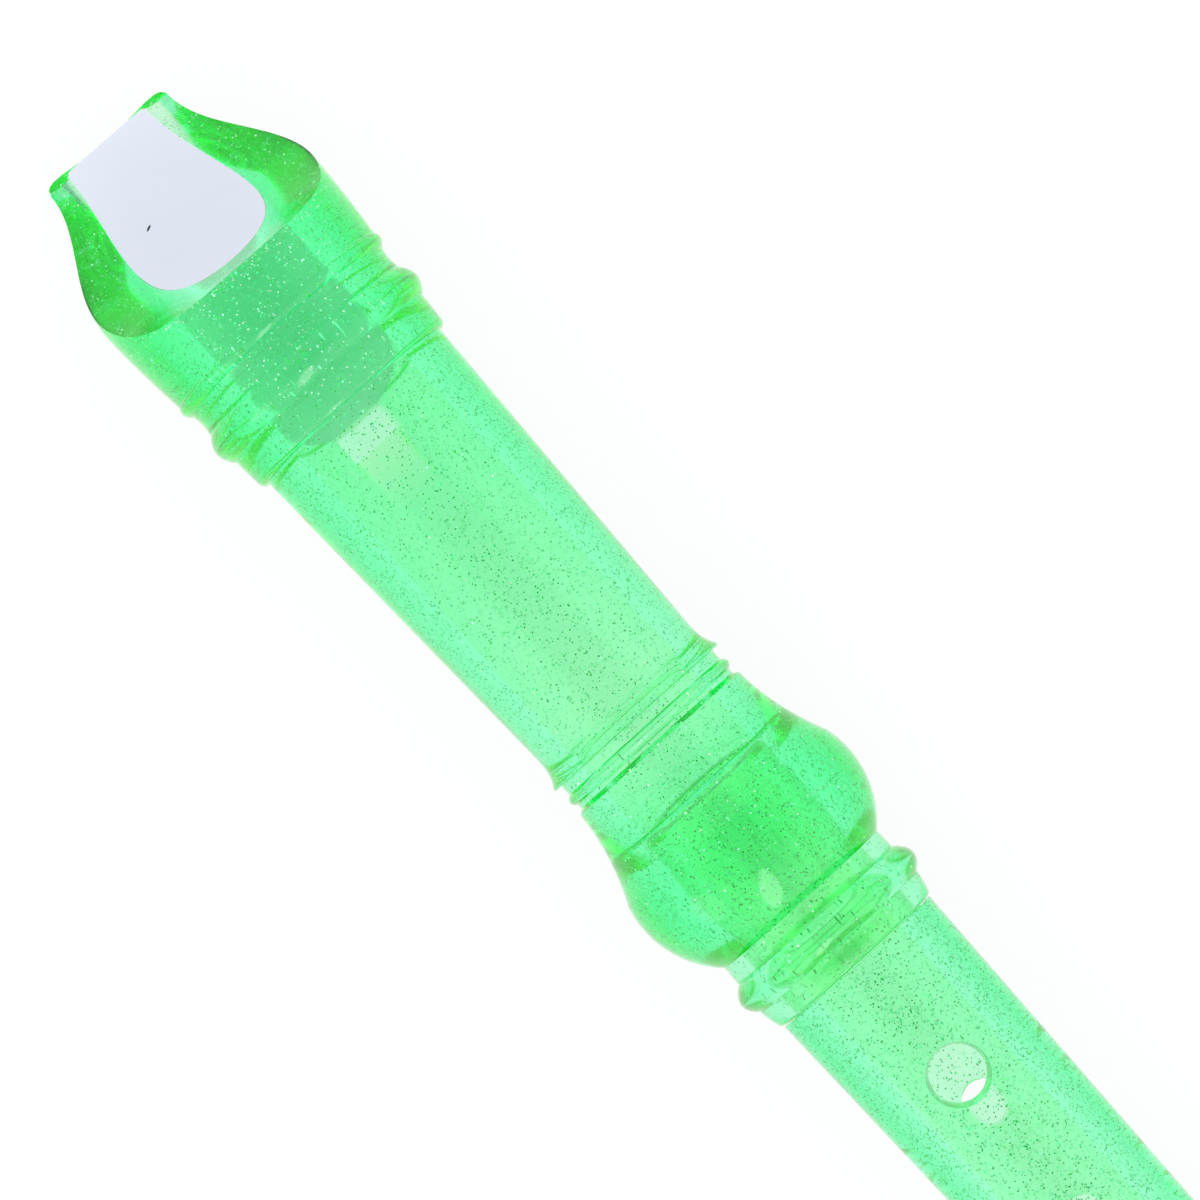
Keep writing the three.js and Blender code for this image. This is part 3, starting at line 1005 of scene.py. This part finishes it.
# Floor and light. A plain pale table that glows evenly, soft lamps above and a pale room.
floor_size, floor_drop = 8.0, 0.0002
bpy.ops.object.select_all(action="DESELECT")
bpy.ops.mesh.primitive_plane_add(size=floor_size, location=(0, 0, -floor_drop))
floor = bpy.context.object
floor.name = "floor"
floor_material, _, _, floor_shader = new_material("pale_floor")
floor_shader.inputs["Base Color"].default_value = (0.12, 0.12, 0.12, 1)
floor_shader.inputs["Roughness"].default_value = 0.8
floor_shader.inputs["Emission Color"].default_value = (1.0, 1.0, 1.0, 1)
floor_shader.inputs["Emission Strength"].default_value = 0.87
floor.data.materials.append(floor_material)

world = bpy.data.worlds.new("pale_room")
world.use_nodes = True
world_nodes, world_links = world.node_tree.nodes, world.node_tree.links
direction = world_nodes.new("ShaderNodeTexCoord")
parts = world_nodes.new("ShaderNodeSeparateXYZ")
world_links.new(direction.outputs["Generated"], parts.inputs["Vector"])
ceiling = world_nodes.new("ShaderNodeMapRange")
ceiling.interpolation_type = "SMOOTHSTEP"
ceiling.inputs["From Min"].default_value = math.cos(math.radians(50))
ceiling.inputs["From Max"].default_value = math.cos(math.radians(20))
ceiling.inputs["To Min"].default_value = 1.35
ceiling.inputs["To Max"].default_value = 0.78
world_links.new(parts.outputs["Z"], ceiling.inputs["Value"])
from_the_foot = world_nodes.new("ShaderNodeMath")
from_the_foot.operation = "MULTIPLY_ADD"
from_the_foot.inputs[1].default_value = 0.4
world_links.new(parts.outputs["X"], from_the_foot.inputs[0])
world_links.new(ceiling.outputs["Result"], from_the_foot.inputs[2])
background = world_nodes["Background"]
background.inputs["Color"].default_value = (0.96, 0.98, 1.0, 1)
world_links.new(from_the_foot.outputs[0], background.inputs["Strength"])
bpy.context.scene.world = world


def soft_lamp(name, place, aim, size, power):
    lamp_data = bpy.data.lights.new(name, "AREA")
    lamp_data.shape = "ELLIPSE"
    lamp_data.size, lamp_data.size_y = size
    lamp_data.energy = power
    lamp = bpy.data.objects.new(name, lamp_data)
    lamp.location = place
    lamp.rotation_euler = (aim - Vector(place)).to_track_quat("-Z", "Y").to_euler()
    bpy.context.scene.collection.objects.link(lamp)


bulb_place = Vector((head_start + bulb_peak * MM, 0, axis_height))
soft_lamp("lamp_at_the_foot", (0.72, -0.18, 0.56), bulb_place, (0.25, 0.8), 1.5)
soft_lamp("lamp_at_the_side", (0.30, -0.86, 0.36), bulb_place, (0.5, 0.5), 0.6)

bpy.context.scene.view_settings.view_transform = "Standard"
bpy.context.scene.cycles.max_bounces = 32
bpy.context.scene.cycles.glossy_bounces = 24
bpy.context.scene.cycles.transmission_bounces = 32
